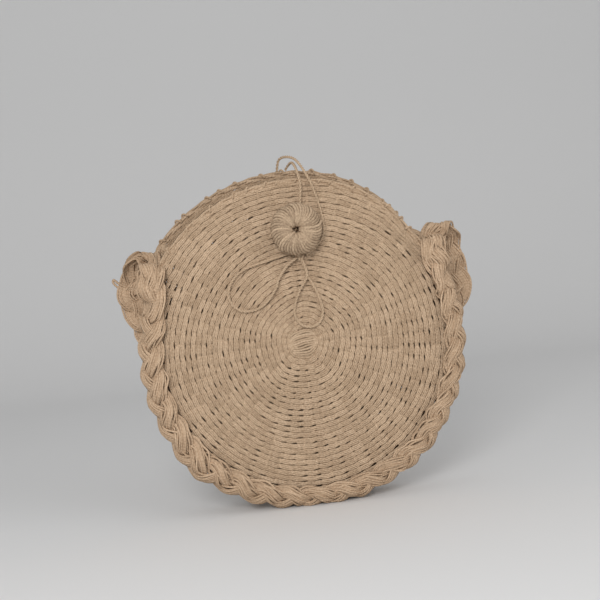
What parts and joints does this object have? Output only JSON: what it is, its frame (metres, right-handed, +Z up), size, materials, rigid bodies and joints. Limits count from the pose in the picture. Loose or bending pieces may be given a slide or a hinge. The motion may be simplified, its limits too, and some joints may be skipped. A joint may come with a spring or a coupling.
{
  "type": "round woven paper-cord shoulder bag",
  "caption": "Round shoulder bag of woven paper cord: domed discs joined by a wide braid that runs on as the strap, with a wound button and a closing cord tied in a bow.",
  "frame": {"origin": "under the hub, midway through the depth, on the surface the bag stands on", "axes": "+Z up, -Y out of the front disc with the button, +X to the right seen from the front"},
  "size_m": [0.336, 0.0742, 0.3224],
  "materials": {
    "woven_cord": "matte twisted paper",
    "braid_cord": "matte twisted paper",
    "tie_cord": "matte twisted paper"
  },
  "bodies": {
    "bag": {"front_panel": "woven_cord", "back_panel": "woven_cord", "front_border": "woven_cord", "back_border": "woven_cord", "gusset_strand_1": "braid_cord", "gusset_strand_2": "braid_cord", "gusset_strand_3": "braid_cord", "seam_lacing": "braid_cord", "ear_left": "braid_cord", "ear_right": "braid_cord", "button_shank": "tie_cord", "button_stay": "tie_cord", "tie_anchor": "tie_cord"},
    "strap": {"strap_strand_1": "braid_cord", "strap_strand_2": "braid_cord", "strap_strand_3": "braid_cord"},
    "button": {"button_core": "braid_cord", "button_winding": "tie_cord"},
    "tie": {"tie_leg_left": "tie_cord", "tie_leg_right": "tie_cord", "tie_knot": "tie_cord", "bow_loop_left": "tie_cord", "bow_loop_lower": "tie_cord"}
  },
  "joints": [
    {"name": "strap_swing", "type": "hinge", "parent": "bag", "child": "strap", "pos_m": [0, 0.03155, 0.21389], "axis": [1, 0, 0], "range_deg": [0, 180]},
    {"name": "button_turn", "type": "hinge", "parent": "bag", "child": "button", "pos_m": [0, -0.0365, 0.2528], "axis": [0, -1, 0], "range_deg": [-45, 45]},
    {"name": "tie_lift", "type": "hinge", "parent": "bag", "child": "tie", "pos_m": [0, 0.0254, 0.2998], "axis": [-1, 0, 0], "range_deg": [0, 150], "deforming": ["tie_leg_left", "tie_leg_right", "tie_knot", "bow_loop_left", "bow_loop_lower"]}
  ]
}
